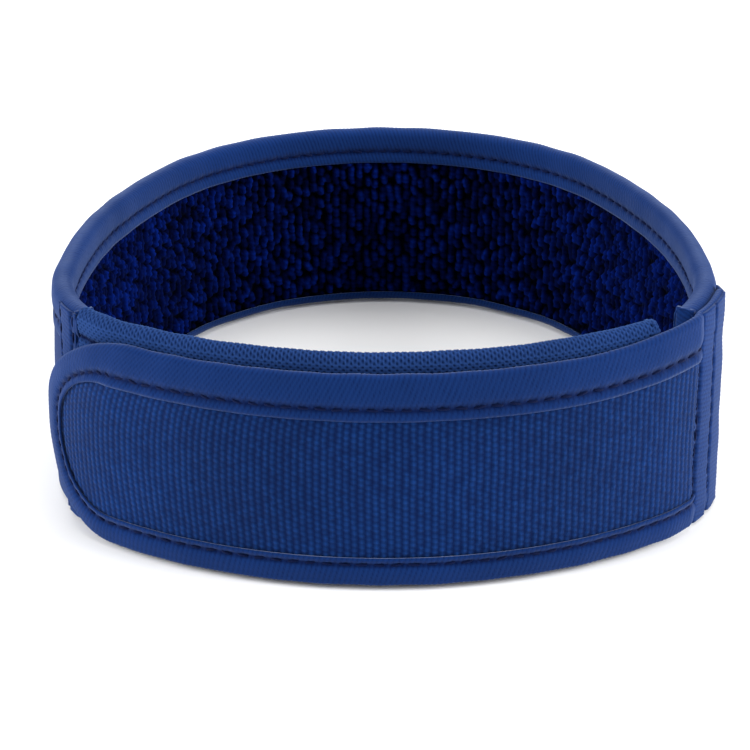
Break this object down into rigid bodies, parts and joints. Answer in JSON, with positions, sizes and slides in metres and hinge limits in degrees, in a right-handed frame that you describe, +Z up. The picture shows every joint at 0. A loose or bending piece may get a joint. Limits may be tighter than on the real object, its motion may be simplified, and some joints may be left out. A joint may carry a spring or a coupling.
{
  "type": "blood pressure cuff",
  "caption": "Narrow fabric limb cuff closed into a ring by a hook-and-loop tab over a loop strap, with a terry lining, a flat bladder and a hose port.",
  "frame": {"origin": "middle of the overall box, on the plane of the cuff's lower edge", "axes": "+Z up, along the limb; the closing tab is at the front, at -Y; +X is to the right seen from the front, where the tab is sewn on; the hose port is at the back, at +Y"},
  "size_m": [0.1148, 0.1329, 0.038],
  "materials": {
    "shell_fabric": "matt",
    "terry": "matt pile",
    "film": "satin",
    "binding": "matt twill",
    "thread": "matt",
    "mesh": "matt mesh",
    "loop": "matt loop pile",
    "hook": "matt hooks",
    "port": "satin",
    "flange": "satin"
  },
  "bodies": {
    "band": {"outer_shell": "shell_fabric", "terry_lining": "terry", "bladder_outer_film": "film", "bladder_inner_film": "film", "top_binding": "binding", "bottom_binding": "binding", "top_binding_stitches": "thread", "bottom_binding_stitches": "thread", "left_seam_tape": "binding", "left_seam_stitches": "thread", "tab_root": "loop", "right_seam_tape": "binding", "right_seam_stitches": "thread", "port_flange": "flange", "port_washer": "port", "port_elbow": "port"},
    "strap": {"strap_loop_face": "loop", "strap_mesh_backing": "mesh", "strap_top_binding": "mesh", "strap_bottom_binding": "mesh", "strap_stitches": "thread"},
    "tab": {"tab_face": "loop", "tab_hook_patch": "hook", "tab_binding": "binding", "tab_stitches": "thread"}
  },
  "joints": [
    {"name": "tab_hinge", "type": "hinge", "parent": "band", "child": "tab", "pos_m": [0.05146, -0.046, 0.019], "axis": [0, 0, 1], "range_deg": [0, 110]},
    {"name": "strap_hinge", "type": "hinge", "parent": "band", "child": "strap", "pos_m": [-0.04928, -0.04541, 0.019], "axis": [0, 0, -1], "range_deg": [0, 13.5]}
  ],
  "couplings": [
    {"joint": "strap_hinge", "follows": "tab_hinge", "ratio": 0.12}
  ]
}
